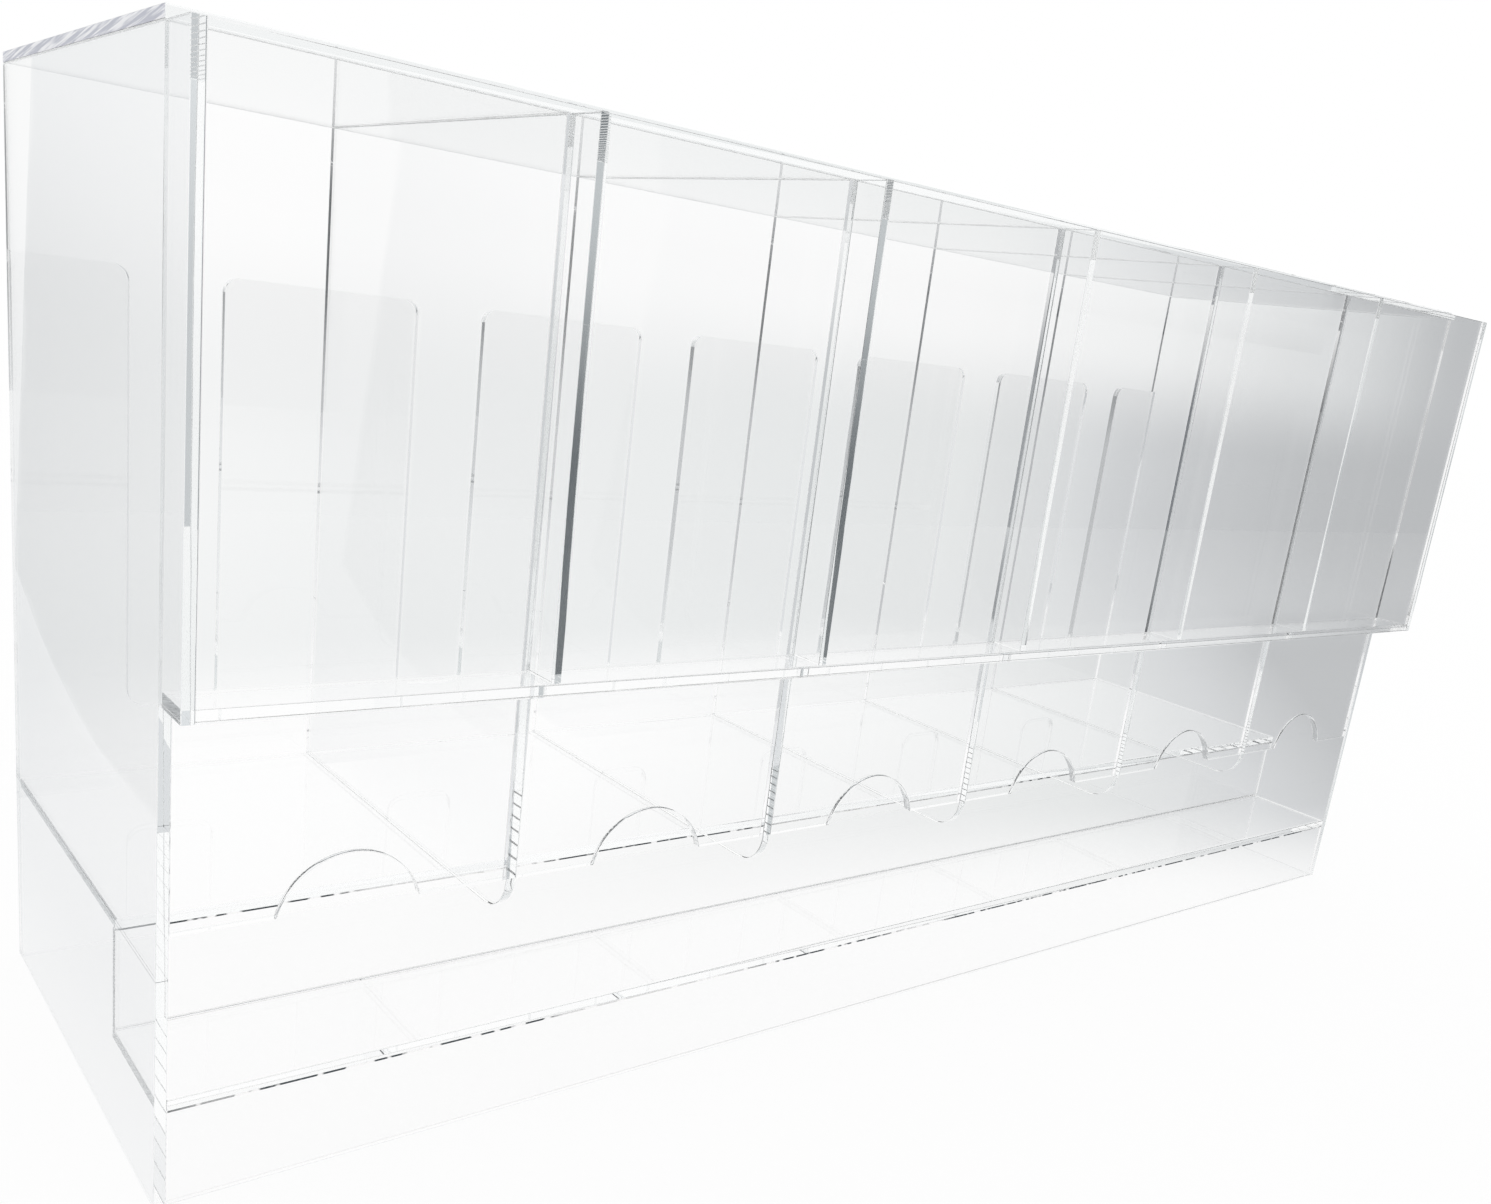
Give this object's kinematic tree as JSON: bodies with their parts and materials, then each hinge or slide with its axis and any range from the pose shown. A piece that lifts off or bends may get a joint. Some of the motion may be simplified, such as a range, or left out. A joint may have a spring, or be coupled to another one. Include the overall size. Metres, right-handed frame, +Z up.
{
  "type": "booster pack dispenser",
  "caption": "Clear acrylic counter dispenser with side-by-side columns for card packs, rear loading, front finger notches and open-topped display pockets.",
  "frame": {"origin": "on the counter, at the middle of the footprint of the whole dispenser", "axes": "+X along the width to the right as seen from the front, +Y towards the back, +Z up"},
  "size_m": [0.4824, 0.148, 0.2411],
  "materials": {
    "clear_acrylic": "polished clear sheet with laser-cut edges"
  },
  "bodies": {
    "root": {"left_side_panel": "clear_acrylic", "right_side_panel": "clear_acrylic", "back_panel": "clear_acrylic", "top_plate": "clear_acrylic", "shelf": "clear_acrylic", "riser": "clear_acrylic", "tray_floor": "clear_acrylic", "front_skirt": "clear_acrylic", "display_window": "clear_acrylic", "pocket_floor": "clear_acrylic", "divider_1": "clear_acrylic", "divider_2": "clear_acrylic", "divider_3": "clear_acrylic", "divider_4": "clear_acrylic", "divider_5": "clear_acrylic", "column_front_1": "clear_acrylic", "column_front_2": "clear_acrylic", "column_front_3": "clear_acrylic", "column_front_4": "clear_acrylic", "column_front_5": "clear_acrylic", "column_front_6": "clear_acrylic"}
  },
  "joints": []
}
